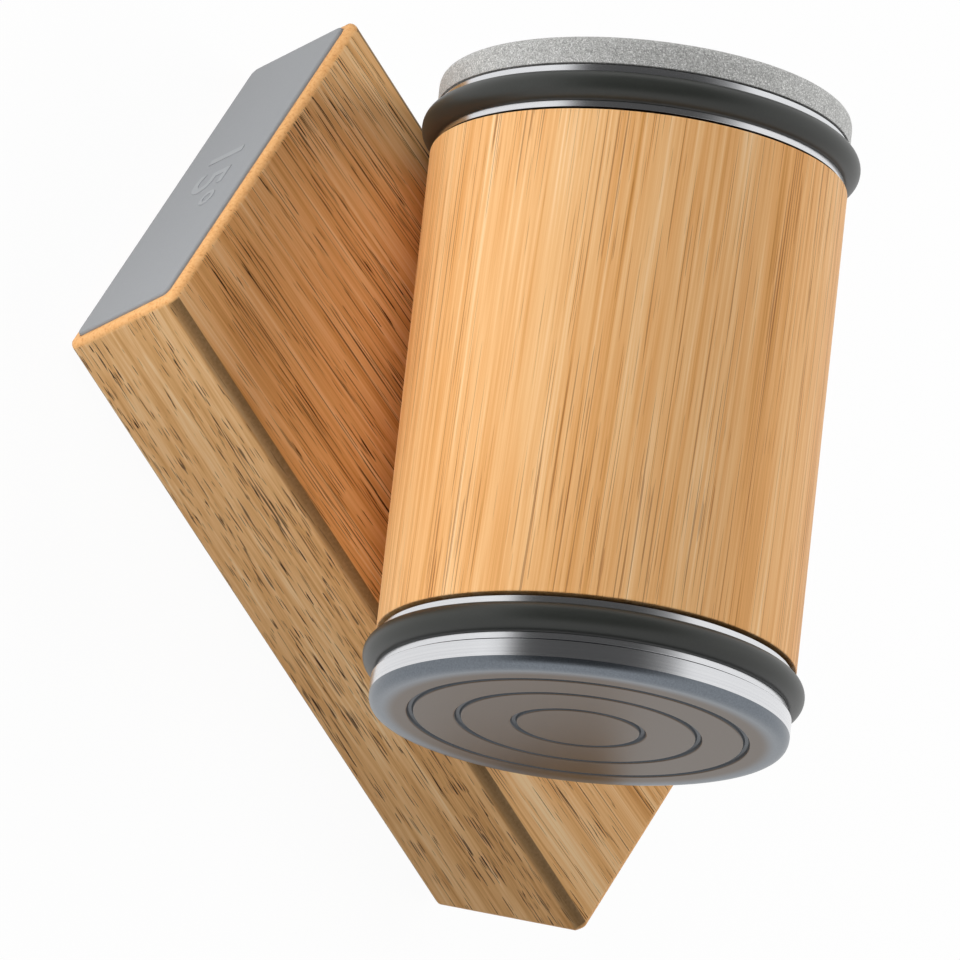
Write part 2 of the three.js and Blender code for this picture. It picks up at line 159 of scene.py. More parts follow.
def piece(name, rings, finishes, joined=False, capped=False, zones=None, shades=None, sharp=crease):
    """A mesh from rings of points: each ring is closed round, and quads join it to the next ring.

    joined ties the last ring to the first, as round a tyre, and capped fills the first and last ring.
    zones gives each row of quads its finish, and shades gives each point its values by name.
    """
    rows, columns, _ = rings.shape
    grid = np.arange(rows * columns).reshape(rows, columns)
    low = grid if joined else grid[:-1]
    high = np.roll(grid, -1, 0) if joined else grid[1:]
    quads = np.stack([low, np.roll(low, -1, 1), np.roll(high, -1, 1), high], axis=-1)
    faces = quads.reshape(-1, 4).tolist()
    kinds = np.repeat(np.zeros(len(low), int) if zones is None else zones, columns).tolist()
    if capped:
        faces += [grid[0, ::-1].tolist(), grid[-1].tolist()]
        kinds += [kinds[0], kinds[-1]]
    mesh = bpy.data.meshes.new(name)
    mesh.from_pydata(rings.reshape(-1, 3), [], faces)
    mesh.polygons.foreach_set("material_index", kinds)
    for label, values in (shades or {}).items():
        mesh.attributes.new(label, "FLOAT", "POINT").data.foreach_set("value", values.ravel())
    closed = bmesh.new()
    closed.from_mesh(mesh)
    bmesh.ops.remove_doubles(closed, verts=closed.verts, dist=merge_distance)
    bmesh.ops.recalc_face_normals(closed, faces=closed.faces)
    closed.to_mesh(mesh)
    closed.free()
    mesh.shade_smooth()
    mesh.set_sharp_from_angle(angle=math.radians(sharp))
    return linked(name, mesh, finishes)


def turned(name, profile, finishes, side=1, **options):
    """Surface turned about the roller's axis: each (radius, place) of the profile goes round a circle.

    A point is middle + side * place * along + radius * (across * cos a + upward * sin a).
    """
    turn = np.linspace(0, 2 * math.pi, round_sides, endpoint=False)
    spoke = np.outer(np.cos(turn), across) + np.outer(np.sin(turn), upward)
    profile = np.asarray(profile, float)
    rings = middle + side * profile[:, 1, None, None] * along + profile[:, 0, None, None] * spoke
    return piece(name, rings, finishes, **options)


def span(node):
    """Nearest and farthest place of a node along the roller's axis, and its least and greatest radius.

    Places count from the roller's middle, whichever end the node is at.
    """
    vertices = frame["nodes"][node].data.vertices
    points = np.empty(len(vertices) * 3)
    vertices.foreach_get("co", points)
    points = points.reshape(-1, 3) - middle
    place = points @ along
    radius = np.linalg.norm(points - place[:, None] * along, axis=1)
    return np.abs(place).min(), np.abs(place).max(), radius.min(), radius.max()


def rectangle(length, height, corner):
    """Points (x, y) round a rectangle with round corners, each point's outward angle, and its corner share.

    A corner is a quarter circle about its centre; a side has points held near both ends and spread
    between. Outlines of any size have the same points in the same order, so rings can join them.
    """
    corner = min(corner, length / 2, height / 2)
    signs = np.array([[1, 1], [-1, 1], [-1, -1], [1, -1]])
    centres = signs * (length / 2 - corner, height / 2 - corner)
    points, angles, turning = [], [], []
    for i, centre in enumerate(centres):
        turn = math.pi / 2 * (i + np.linspace(0, 1, ease_steps + 1))
        quarter = centre + corner * np.stack([np.cos(turn), np.sin(turn)], axis=1)
        leap = centres[(i + 1) % 4] - centre
        held = hold / np.linalg.norm(leap)
        shares = np.array([held, *np.linspace(0, 1, side_steps + 2)[1:-1], 1 - held])
        points += [quarter, quarter[-1] + shares[:, None] * leap]
        angles += [turn, np.full(len(shares), turn[-1])]
        turning += [np.ones(len(turn)), np.zeros(len(shares))]
    return np.concatenate(points), np.concatenate(angles), np.concatenate(turning)


def end_of(label):
    """Frame and size of a slanted end, from its pad's mount and the block's box.

    out points away from the end's face, up leads up its slope, and sideways is the row's own +Y.
    """
    mount = mounts["knife_rest_" + label]
    out = np.array(mount["axis"])
    low, high = (np.array(corner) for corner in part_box("block_body"))
    sideways = np.array([0.0, 1.0, 0.0])
    up = np.cross(out, sideways)
    up *= np.sign(up[2])
    return {
        "label": label,
        "centre": np.array(mount["pos_m"]) - pad_proud * out,
        "out": out,
        "up": up,
        "sideways": sideways,
        "length": high[1] - low[1],
        "height": (high[2] - low[2]) / up[2],
    }


def carried(seat, outline, out=0.0):
    """Points of a flat outline carried into a seat's frame, at a height out of it."""
    flat = outline[:, 0, None] * seat["sideways"] + outline[:, 1, None] * seat["up"]
    return seat["centre"] + flat + out * seat["out"]


def end_rings(end):
    """Rings of the block from the floor of a pad's seat out to the long sides, and their shades.

    The outer rings are an inner core's outline, with each point moved off it along a direction that
    swings from the end's outward one to the side's. The distance grows from the end's easing to the
    long edges' and follows a superellipse round these, which makes them nearly flat chamfers. The
    painted edge shade darkens these chamfers as painted shade; it is full where such an edge meets the
    top or the underside, and fades towards the side.
    """
    margin = pad_margin - pad_groove
    seat_size = end["length"] - 2 * margin, end["height"] - 2 * margin
    seat, _, _ = rectangle(*seat_size, pad_corner + pad_groove)
    core_size = end["length"] - 2 * long_edge, end["height"] - 2 * long_edge / end["up"][2]
    core, angle, turning = rectangle(*core_size, 0)
    inner, _, _ = rectangle(core_size[0] - 2 * hold, core_size[1] - 2 * hold, 0)
    shift = np.array([0, end_edge * end["out"][2] / end["up"][2]])
    core = carried(end, core + shift, -end_edge)
    side = np.cos(angle)[:, None] * end["sideways"] + np.sin(angle)[:, None] * upward
    swing = np.arccos(side @ end["out"])[:, None]
    round_part = np.abs(np.cos(angle)) ** edge_power + np.abs(np.sin(angle)) ** edge_power
    reach = long_edge * round_part[:, None] ** (-1 / edge_power)
    rings = [
        carried(end, seat, pad_proud - pad_thick - pad_groove),
        carried(end, seat),
        carried(end, inner + shift),
    ]
    painted_edge_shade = [np.zeros(len(seat))] * len(rings)
    end_shade = [np.ones(len(seat))] * len(rings)
    for t in np.linspace(0, 1, ease_steps + 1):
        direction = (np.sin((1 - t) * swing) * end["out"] + np.sin(t * swing) * side) / np.sin(swing)
        distance = end_edge + (reach - end_edge) * (3 * t**2 - 2 * t**3)
        rings.append(core + distance * direction)
        outermost = float(t == 1)
        painted_edge_shade.append(turning * np.sqrt(np.abs(np.sin(angle))) * outermost)
        end_shade.append(np.full(len(seat), 1 - outermost))
    rings.append(rings[-1] - [math.copysign(hold, end["out"][0]), 0, 0])
    painted_edge_shade.append(painted_edge_shade[-1])
    end_shade.append(end_shade[-1])
    return rings, painted_edge_shade, end_shade


def slab(name, seat, margin, corner, back, front, edge, finishes):
    """Plate with round corners in a seat's frame, its front edge eased by a quarter circle."""
    turn = np.linspace(0, math.pi / 2, ease_steps + 1)
    inset = [0, 0, *(edge * (1 - np.cos(turn))), edge + hold]
    height = [back, front - edge - hold, *(front - edge + edge * np.sin(turn)), front]
    size = seat["length"] - 2 * margin, seat["height"] - 2 * margin
    rings = [
        carried(seat, rectangle(size[0] - 2 * cut, size[1] - 2 * cut, corner - cut)[0], out)
        for cut, out in zip(inset, height)
    ]
    return piece(name, np.array(rings), finishes, capped=True)


def numerals(end, finishes):
    """Raised figures of the end's angle in the middle of its pad, made a mesh and then put in place."""
    name = "numerals_" + end["label"]
    letters = bpy.data.curves.new(name, "FONT")
    letters.body = end["label"] + "°"
    letters.align_x = "CENTER"
    letters.align_y = "CENTER"
    text = linked(name, letters)
    bpy.context.view_layer.update()
    height = text.dimensions.y
    letters.extrude = numeral_relief * height / numeral_height
    letters.bevel_depth = numeral_edge * height / numeral_height
    bpy.context.view_layer.update()
    mesh = bpy.data.meshes.new_from_object(text.evaluated_get(bpy.context.evaluated_depsgraph_get()))
    bpy.data.objects.remove(text)
    mesh.name = name
    reading = Vector(np.cross(end["up"], end["out"]))
    turn = Matrix([reading, Vector(end["up"]), Vector(end["out"])]).transposed().to_4x4()
    mesh.transform(turn @ Matrix.Scale(numeral_height / height, 4))
    mesh.transform(Matrix.Translation(Vector(end["centre"] + pad_proud * end["out"])))
    mesh.materials.clear()
    return linked(name, mesh, finishes)


def stud(name, node, side, finishes):
    """Threaded stud: its radius falls from the crest by up to the thread's depth.

    The fall is a trapezoid wave of place / pitch - turn, and at both ends a cone cuts the thread down.
    """
    near, far, _, crest = span(node)
    rows = round((far - near) / thread_pitch * thread_steps)
    place = np.linspace(near, far, rows)[:, None]
    turn = np.linspace(0, 2 * math.pi, thread_sides, endpoint=False)[None, :]
    wave = np.abs(2 * ((place / thread_pitch - turn / (2 * math.pi)) % 1) - 1)
    radius = crest - thread_depth * np.clip((wave - thread_flat) / (1 - 2 * thread_flat), 0, 1)
    cone = crest - thread_lead + np.minimum(place - near, far - place)
    radius = np.minimum(radius, cone)[:, :, None]
    spoke = np.cos(turn)[:, :, None] * across + np.sin(turn)[:, :, None] * upward
    rings = middle + side * place[:, :, None] * along + radius * spoke
    return piece(name, rings, finishes, capped=True, sharp=thread_crease)


# Materials

# Oak, in millimetres and in shares of a noise's range; what differs between boards is in their looks
patch_length = 40
patch_width = 5
patch_share = 0.25
mark_softness = 0.02
waver_length = 90
waver_width = 6
band_length = 130
end_pore = 0.45  # width of the pores that the ends cut across
fibre_roughness = 0.2
pore_roughness = 0.15
hair_relief = 0.15
pore_relief = -1.0
oak_depth = 0.03
# Metals and coats, in millimetres
blast_grain = 0.25
blast_depth = 0.006
grit_size = 0.14  # coarser than the real grit, so that it shows
grit_blotch = 1.4
grit_depth = 0.04


def linear(code):
    """An sRGB hex colour, or a grey from 0 to 1, as linear RGBA."""
    if not isinstance(code, str):
        return (code, code, code, 1.0)
    value = np.array([int(code[i : i + 2], 16) for i in (1, 3, 5)]) / 255
    value = np.where(value <= 0.04045, value / 12.92, ((value + 0.055) / 1.055) ** 2.4)
    return (*value, 1.0)


def add(tree, kind, inputs=(), stops=(), **settings):
    """Adds a node with its settings, links or sets its inputs, and gives a ramp its stops."""
    made = tree.nodes.new(kind)
    for name, value in settings.items():
        setattr(made, name, value)
    for key, value in dict(inputs).items():
        if isinstance(value, bpy.types.NodeSocket):
            tree.links.new(value, made.inputs[key])
        else:
            made.inputs[key].default_value = value
    if stops:
        elements = made.color_ramp.elements
        elements.remove(elements[1])
        elements[0].position = stops[0][0]
        elements[0].color = linear(stops[0][1])
        for place, colour in stops[1:]:
            elements.new(place).color = linear(colour)
    return made


def blank(name):
    """A new material and its tree, which is still empty."""
    made = bpy.data.materials.new(name)
    made.use_nodes = True
    made.node_tree.nodes.clear()
    return made, made.node_tree


def finish_of(name, **values):
    """A new material, its tree and its shader. Values that are the same all over go on its sockets."""
    made, tree = blank(name)
    shader = add(tree, "ShaderNodeBsdfPrincipled", {key.replace("_", " "): values[key] for key in values})
    add(tree, "ShaderNodeOutputMaterial", {"Surface": shader.outputs["BSDF"]})
    return made, tree, shader


def lengthwise(tree, yaw, centre):
    """Object coordinates in millimetres from a centre, turned so that x runs along a horizontal length."""
    turn = Matrix.Rotation(-yaw, 3, "Z")
    place = add(tree, "ShaderNodeTexCoord")
    inputs = {
        "Vector": place.outputs["Object"],
        "Location": -(turn @ Vector(centre)) / mm,
        "Rotation": (0, 0, -yaw),
        "Scale": (1 / mm, 1 / mm, 1 / mm),
    }
    return add(tree, "ShaderNodeMapping", inputs).outputs["Vector"]


def streaks(tree, place, length, width, detail=2.0):
    """Noise whose spots are so long along x and so wide across it, in millimetres."""
    scale = (1 / length, 1 / width, 1 / width)
    drawn = add(tree, "ShaderNodeVectorMath", {0: place, 1: scale}, operation="MULTIPLY").outputs[0]
    inputs = {"Vector": drawn, "Scale": 1.0, "Detail": detail, "Roughness": 0.5}
    return add(tree, "ShaderNodeTexNoise", inputs)


def sums(tree, *terms, start=0.0):
    """A start plus factor * (value - neutral) for each (value, factor, neutral)."""
    total = start
    for value, factor, neutral in terms:
        centred = add(tree, "ShaderNodeMath", {0: value, 1: neutral}, operation="SUBTRACT").outputs[0]
        inputs = {0: centred, 1: factor, 2: total}
        total = add(tree, "ShaderNodeMath", inputs, operation="MULTIPLY_ADD").outputs[0]
    return total


def skin(tree, shader, noise, roughness, spread, depth, strength=0.5):
    """Lets a noise spread the roughness, and raise the surface by a depth in millimetres."""
    rough = sums(tree, (noise, spread, 0.5), start=roughness)
    tree.links.new(rough, shader.inputs["Roughness"])
    bump = {"Height": noise, "Strength": strength, "Distance": depth * mm}
    tree.links.new(add(tree, "ShaderNodeBump", bump).outputs["Normal"], shader.inputs["Normal"])


def dashes(tree, place, length, width, height, start):
    """Thin marks where a noise passes its start, in cells of a length, width and height in millimetres.

    A second, wide noise lets them crowd or thin out.
    """
    scale = (1 / length, 1 / width, 1 / height)
    drawn = add(tree, "ShaderNodeVectorMath", {0: place, 1: scale}, operation="MULTIPLY").outputs[0]
    noise = {"Vector": drawn, "Scale": 1.0, "Detail": 0.5, "Roughness": 0.4}
    noise = add(tree, "ShaderNodeTexNoise", noise).outputs["Fac"]
    patches = streaks(tree, place, patch_length, patch_width, 1.0).outputs["Fac"]
    level = {"Fac": sums(tree, (patches, patch_share, 0.5), start=noise)}
    return add(tree, "ShaderNodeValToRGB", level, stops=[(start, 0.0), (start + mark_softness, 1.0)])


def oak(name, yaw, centre, look):
    """Oiled oak: straight growth rings, fine fibres, and open pores that show as thin dark dashes.

    The heart is the middle of the log across the grain, in millimetres, so that the rings curve as in
    a board. The twist is how far the grain winds round the length, in radians per millimetre, and the
    cut is the place along the log where the piece comes from. The gloss is low, because open wood
    takes up its oil.
    """
    made, tree, shader = finish_of(name, Roughness=0.5, Specular_IOR_Level=look["gloss"])
    place = lengthwise(tree, yaw, centre)
    if look["twist"]:
        run = add(tree, "ShaderNodeSeparateXYZ", {"Vector": place}).outputs["X"]
        angle = add(tree, "ShaderNodeMath", {0: run, 1: look["twist"]}, operation="MULTIPLY").outputs[0]
        turn = {"Vector": place, "Angle": angle}
        place = add(tree, "ShaderNodeVectorRotate", turn, rotation_type="X_AXIS").outputs[0]
    cut = (look["cut"], 0, 0)
    place = add(tree, "ShaderNodeVectorMath", {0: place, 1: cut}, operation="ADD").outputs[0]

    # The grain wanders slowly from straight
    drift = streaks(tree, place, look["drift_length"], look["drift_width"]).outputs["Color"]
    offset = add(tree, "ShaderNodeVectorMath", {0: drift, 1: (0.5, 0.5, 0.5)}, operation="SUBTRACT")
    swing = (0, look["drift"], look["drift"])
    offset = add(tree, "ShaderNodeVectorMath", {0: offset.outputs[0], 1: swing}, operation="MULTIPLY")
    grain = add(tree, "ShaderNodeVectorMath", {0: place, 1: offset.outputs[0]}, operation="ADD").outputs[0]

    # Growth rings: distance from the heart, in rings, of which the fraction says where in the year
    section = add(tree, "ShaderNodeVectorMath", {0: grain, 1: (0, 1, 1)}, operation="MULTIPLY").outputs[0]
    heart = (0, *look["heart"])
    distance = add(tree, "ShaderNodeVectorMath", {0: section, 1: heart}, operation="DISTANCE")
    waver = streaks(tree, grain, waver_length, waver_width).outputs["Fac"]
    years = sums(tree, (distance.outputs["Value"], 1 / look["ring"], 0.0), (waver, look["waver"], 0.5))
    season = add(tree, "ShaderNodeMath", {0: years}, operation="FRACT").outputs[0]
    early = [(0.0, 0.75), (0.1, 1.0), (0.32, 0.35), (0.55, 0.0), (0.93, 0.0), (1.0, 0.75)]
    early = add(tree, "ShaderNodeValToRGB", {"Fac": season}, stops=early).outputs["Color"]

    # Tone: broad bands, the rings, the fibres and the finest fibres
    bands = streaks(tree, grain, band_length, look["band"]).outputs["Fac"]
    fibres = streaks(tree, grain, look["fibre_length"], look["fibre"]).outputs["Fac"]
    hairs = streaks(tree, grain, look["hair_length"], look["hair"], 1.0).outputs["Fac"]
    tone = sums(
        tree,
        (bands, look["band_share"], 0.5),
        (fibres, look["fibre_share"], 0.5),
        (hairs, look["hair_share"], 0.5),
        (early, look["ring_share"], 0.3),
        start=0.5,
    )
    wood = add(tree, "ShaderNodeValToRGB", {"Fac": tone}, stops=look["tones"]).outputs["Color"]

    # Pores: long thin lines where pores run on in a row, and short dashes
    pores = dashes(tree, grain, *look["pore"]).outputs["Color"]
    lines = dashes(tree, grain, *look["line"]).outputs["Color"]
    layers = []
    for marks, strength in ((lines, look["line_strength"]), (pores, look["pore_strength"])):
        share = add(tree, "ShaderNodeMath", {0: marks, 1: strength}, operation="MULTIPLY").outputs[0]
        layers.append((share, linear(look["pore_tone"])))

    # Long edges painted dark as painted shade, and end grain, which is paler and only speckled
    speckle = {"Vector": place, "Scale": 1 / end_pore, "Detail": 3.0, "Roughness": 0.65}
    speckle = add(tree, "ShaderNodeTexNoise", speckle).outputs["Fac"]
    for label, tones in look["shades"].items():
        share = add(tree, "ShaderNodeAttribute", attribute_name=label).outputs["Fac"]
        mottle = add(tree, "ShaderNodeValToRGB", {"Fac": speckle}, stops=tones).outputs["Color"]
        layers.append((share, mottle))
    for share, colour in layers:
        wood = add(tree, "ShaderNodeMix", {0: share, 6: wood, 7: colour}, data_type="RGBA").outputs[2]
    tree.links.new(wood, shader.inputs["Base Color"])

    rough = sums(tree, (fibres, fibre_roughness, 0.5), (pores, pore_roughness, 0.0), start=look["roughness"])
    tree.links.new(rough, shader.inputs["Roughness"])
    height = sums(tree, (hairs, hair_relief, 0.5), (pores, pore_relief, 0.0))
    bump = add(tree, "ShaderNodeBump", {"Height": height, "Strength": 0.5, "Distance": oak_depth * mm})
    tree.links.new(bump.outputs["Normal"], shader.inputs["Normal"])
    return made


def round_place(tree):
    """(place along the roller, distance from its axis, 0) in millimetres, for marks that run round it."""
    place = lengthwise(tree, roller_yaw, middle)
    parts = add(tree, "ShaderNodeSeparateXYZ", {"Vector": place})
    off = add(tree, "ShaderNodeVectorMath", {0: place, 1: (0, 1, 1)}, operation="MULTIPLY").outputs[0]
    radius = add(tree, "ShaderNodeVectorMath", {0: off}, operation="LENGTH").outputs["Value"]
    return add(tree, "ShaderNodeCombineXYZ", {"X": parts.outputs["X"], "Y": radius}).outputs[0]


def turned_metal(name, tone, shadow, roughness, mark, spread, depth=0.002):
    """Steel turned on a lathe: fine marks run round it, and it mirrors its surroundings in a soft way."""
    made, tree, shader = finish_of(name, Metallic=1.0, Roughness=roughness)
    marks = {"Vector": round_place(tree), "Scale": 1 / mark, "Detail": 3.0, "Roughness": 0.6}
    marks = add(tree, "ShaderNodeTexNoise", marks).outputs["Fac"]
    colour = add(tree, "ShaderNodeValToRGB", {"Fac": marks}, stops=[(0.3, shadow), (0.7, tone)])
    tree.links.new(colour.outputs["Color"], shader.inputs["Base Color"])
    skin(tree, shader, marks, roughness, spread, depth, 0.35)
    return made


def grained(name, tone, shadow, roughness, grain, depth, metallic=0.0):
    """A skin with an even fine grain, such as blasted steel, moulded rubber or plastic."""
    made, tree, shader = finish_of(name, Metallic=metallic, Roughness=roughness)
    place = lengthwise(tree, 0, (0, 0, 0))
    noise = {"Vector": place, "Scale": 1 / grain, "Detail": 2.0, "Roughness": 0.6}
    noise = add(tree, "ShaderNodeTexNoise", noise).outputs["Fac"]
    colour = add(tree, "ShaderNodeValToRGB", {"Fac": noise}, stops=[(0.3, shadow), (0.7, tone)])
    tree.links.new(colour.outputs["Color"], shader.inputs["Base Color"])
    skin(tree, shader, noise, roughness, 0.1, depth)
    return made


def blasted_with_painted_reflection(name, wood_reflection, rim, roughness):
    """Blasted steel: a bluish satin at the rounded rim, and a painted brown reflection of the wood over the flat
    face.

    The painted reflection fades out over the last millimetres before the rounding. Colours are (tone, shadow).
    """
    made, tree, shader = finish_of(name, Metallic=1.0, Roughness=roughness)
    place = lengthwise(tree, 0, (0, 0, 0))
    grain = {"Vector": place, "Scale": 1 / blast_grain, "Detail": 2.0, "Roughness": 0.6}
    grain = add(tree, "ShaderNodeTexNoise", grain).outputs["Fac"]
    reflection_tone, rim_tone = (
        add(tree, "ShaderNodeValToRGB", {"Fac": grain}, stops=[(0.3, shadow), (0.7, tone)]).outputs["Color"]
        for tone, shadow in (wood_reflection, rim)
    )
    radius = add(tree, "ShaderNodeSeparateXYZ", {"Vector": round_place(tree)}).outputs["Y"]
    edge = span("honing_disc")[3] - honing_rim
    inputs = {"Value": radius, "From Min": (edge - reflection_fade) / mm, "From Max": edge / mm}
    share = add(tree, "ShaderNodeMapRange", inputs, interpolation_type="SMOOTHSTEP").outputs["Result"]
    colour = add(tree, "ShaderNodeMix", {0: share, 6: reflection_tone, 7: rim_tone}, data_type="RGBA")
    tree.links.new(colour.outputs[2], shader.inputs["Base Color"])
    skin(tree, shader, grain, roughness, 0.1, blast_depth)
    return made


def diamond_coat(name):
    """Nickel-bonded diamond grit: a pale grey, sparkling speckle with faint blotches."""
    made, tree, shader = finish_of(name, Metallic=0.35, Roughness=0.6)
    place = lengthwise(tree, 0, (0, 0, 0))
    cells = add(tree, "ShaderNodeTexVoronoi", {"Vector": place, "Scale": 1 / grit_size})
    grey = add(tree, "ShaderNodeSeparateColor", {"Color": cells.outputs["Color"]}).outputs[0]
    blotch = {"Vector": place, "Scale": 1 / grit_blotch, "Detail": 3.0}
    blotch = add(tree, "ShaderNodeTexNoise", blotch).outputs["Fac"]
    tone = sums(tree, (grey, 0.85, 0.5), (blotch, 0.15, 0.5), start=0.5)
    stops = [(0.0, "#8e8e8c"), (0.45, "#b8b8b6"), (0.8, "#d2d2d0"), (1.0, "#f8f8f6")]
    colour = add(tree, "ShaderNodeValToRGB", {"Fac": tone}, stops=stops)
    tree.links.new(colour.outputs["Color"], shader.inputs["Base Color"])
    bump = {"Height": grey, "Strength": 0.5, "Distance": grit_depth * mm}
    tree.links.new(add(tree, "ShaderNodeBump", bump).outputs["Normal"], shader.inputs["Normal"])
    return made


# Looks of the two boards: lengths in millimetres, and how much each pattern counts. A pore or line is
# its cell's length, width and height, and the noise level from which it shows.
block_look = {
    "twist": 0, "cut": 0,
    "drift_length": 80, "drift_width": 16, "drift": 1.2, "heart": (12, -70), "ring": 2.9, "waver": 0.6,
    "band": 4, "band_share": 0.85, "fibre_length": 70, "fibre": 0.8, "fibre_share": 0.85,
    "hair_length": 25, "hair": 0.26, "hair_share": 0.55, "ring_share": -0.12,
    "tones": [(0.15, "#c28c4e"), (0.4, "#dca86c"), (0.6, "#eabb83"), (0.85, "#f4d3a4")],
    "pore": (8, 0.18, 0.2, 0.684), "pore_strength": 1.0, "pore_tone": "#3c2210",
    "line": (45, 0.22, 0.28, 0.682), "line_strength": 0.8,
    "shades": {
        # Painted shade on the long edges, then the end grain's own colours
        "painted_edge_shade": [(0.3, "#7c613f"), (0.7, "#917350")],
        "end_shade": [(0.3, "#cf8f55"), (0.45, "#e4ab6e"), (0.7, "#ecb980")],
    },
    "roughness": 0.55, "gloss": 0.2,
}
sleeve_look = {
    "twist": -math.tan(sleeve_lean) * mm / span("sleeve")[3], "cut": 1370,
    "drift_length": 100, "drift_width": 20, "drift": 0.6, "heart": (-30, 95), "ring": 2.4, "waver": 0.6,
    "band": 4.5, "band_share": 0.9, "fibre_length": 50, "fibre": 0.7, "fibre_share": 0.7,
    "hair_length": 22, "hair": 0.24, "hair_share": 0.42, "ring_share": -0.06,
    "tones": [(0.15, "#cb904d"), (0.4, "#e4a96a"), (0.6, "#eebc82"), (0.85, "#f8d4a6")],
    "pore": (12, 0.2, 0.2, 0.705), "pore_strength": 0.35, "pore_tone": "#7c4010",
    "line": (34, 0.24, 0.24, 0.675), "line_strength": 0.5,
    "shades": {},
    "roughness": 0.5, "gloss": 0.25,
}

# Open-pored oak, oiled: mid brown with strong dark dashes. Its grain leans a little in the board.
block_oak = oak("oiled_oak_block", block_lean, (0, 0, 0), block_look)
# The same wood from a paler board: straight, fine, warm, with thin brown lines
sleeve_oak = oak("oiled_oak_sleeve", roller_yaw, middle, sleeve_look)
# Silicone pad: even mid grey, quite matt
silicone = grained("grey_silicone", "#909295", "#8b8d90", 0.55, 0.35, 0.006)
# The same silicone painted lighter where it is raised: a painted highlight on the numerals, which catch the light
silicone_painted_highlight = grained("grey_silicone_painted_highlight", "#999b9e", "#949699", 0.5, 0.35, 0.006)
# Moulded rubber foot: dull dark grey, with a coarser grain than the tyres
foot_rubber = grained("foot_rubber", "#3d3e3f", "#333435", 0.75, 0.4, 0.02)
# Moulded rubber ring: near black with a green cast and a broad soft highlight
tyre_rubber = grained("tyre_rubber", "#2c2e2b", "#282a27", 0.4, 0.3, 0.004)
# Moulded plastic of the trays and bearing carriers: black with a slight sheen
black_plastic = grained("moulded_black_plastic", "#1e1e1f", "#161617", 0.55, 0.4, 0.01)
# Steel painted near black on the hubs' sides that face the wood: painted shade, so that the gap shows as a black
# line
gap_shade_steel = grained("steel_painted_gap_shade", "#1c1c1c", "#161616", 0.6, 0.3, 0.004, metallic=1.0)
# Polished steel: bright, with marks that run round it
hub_metal = turned_metal("polished_steel_hub", "#e2e3e5", "#dadbde", 0.2, 0.3, 0.04, 0.0003)
rim_metal = turned_metal("polished_steel_rim", "#e0e1e3", "#d6d7da", 0.21, 0.3, 0.04, 0.0002)
# Blasted steel: a bluish satin that blurs what it mirrors, with a painted brown reflection of the wood on the flat
# face
blasted_steel_painted_reflection = blasted_with_painted_reflection("blasted_steel_painted_reflection", ("#5d5044", "#54483d"), ("#7a8087", "#6b7178"), 0.33)
# The same steel painted darker in the grooves: painted shade of the recesses
groove_shade_steel = grained("steel_painted_groove_shade", "#575b60", "#4b4f54", 0.45, 0.25, 0.006, metallic=1.0)
# Ground steel of the bearings: clean and bright
ground_steel = turned_metal("ground_bearing_steel", "#c2c4c6", "#aeb0b3", 0.2, 0.3, 0.06)
# Turned steel of the axle, screws, nuts and studs: greyer and duller
plain_steel = turned_metal("turned_plain_steel", "#a9abad", "#939598", 0.35, 0.3, 0.08)
# Nickel plate on the magnets: bright with a warm cast
nickel = turned_metal("nickel_plate", "#cfccc4", "#bdbab2", 0.25, 0.5, 0.06)
# Diamond grit held in nickel: a matt pale grey that sparkles a little
grit = diamond_coat("diamond_grit")

slot_finishes = {
    "block_oak": block_oak,
    "sleeve_oak": sleeve_oak,
    "end_pad": silicone,
    "foot": foot_rubber,
    "tyre_rubber": tyre_rubber,
    "black_plastic": black_plastic,
    "hub_metal": hub_metal,
    "honing_steel": blasted_steel_painted_reflection,
    "bearing_steel": ground_steel,
    "plain_steel": plain_steel,
    "nickel": nickel,
    "diamond_coat": grit,
}
for part in frame["record"]["subparts"]:
    materials = frame["nodes"][part["node"]].data.materials
    materials.clear()
    materials.append(slot_finishes[part["material_slot"]])


# Pieces


def fitted(made, body, slot, *nodes):
    """A piece rides on a body and stands for its nodes, which are hidden; its slot is not used."""
    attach(made, body)
    if nodes:
        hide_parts(*nodes)


def sleeve_profile():
    """Thick tube with a seat for a bearing carrier in each end."""
    _, half, bore, outside = span("sleeve")
    floor, _, _, carrier = span("bearing_carrier_diamond")
    seat = carrier + fit
    floor -= fit
    corners = [
        (outside, -half), (outside, half), (seat, half), (seat, floor),
        (bore, floor), (bore, -floor), (seat, -floor), (seat, -half),
    ]
    easing = [sleeve_edge, sleeve_edge] + [small_edge] * 6
    return eased(corners, easing, closed=True)


def tyre_line(label):
    """Radius of the tyre's own middle line, and its place along the roller."""
    near, far, _, outside = span("tyre_" + label)
    return outside - tyre_section, (near + far) / 2


def hub_profile(label):
    """Disc with a boss, a round groove for the tyre and a recess for the ring nut.

    Finish 0 is the outside, and 1 the side that faces the wood, painted near black as shade in the gap.
    """
    boss_end, outer, bore, rim = span("hub_" + label)
    inner = span("sleeve")[1] + hub_gap
    boss = span("inner_race_" + label)[3] - boss_step
    nut_low, _, _, nut = span("ring_nut_" + label)
    centre, place = tyre_line(label)
    seat = tyre_section + small_edge / 2
    opening = math.acos((rim - centre) / seat)
    turn = np.linspace(-opening, opening - 2 * math.pi, tyre_seat_steps)
    groove = np.stack([centre + seat * np.cos(turn), place + seat * np.sin(turn)], axis=1)
    near = [(bore, boss_end), (boss, boss_end), (boss, inner), (rim, inner), groove[0]]
    far = [groove[-1], (rim, outer), (nut + fit, outer), (nut + fit, nut_low - fit), (bore, nut_low - fit)]
    profile = np.concatenate([eased(near, hub_edge)[:-1], groove, eased(far, hub_edge)[1:]])
    places = (profile[:, 1] + np.roll(profile[:, 1], -1)) / 2
    return profile, (places < inner + hub_edge / 2).astype(int)


def tyre_profile(label):
    """A circle of the tyre's section."""
    centre, place = tyre_line(label)
    turn = np.linspace(0, 2 * math.pi, tyre_sides, endpoint=False)
    return np.stack([centre + tyre_section * np.cos(turn), place + tyre_section * np.sin(turn)], axis=1)


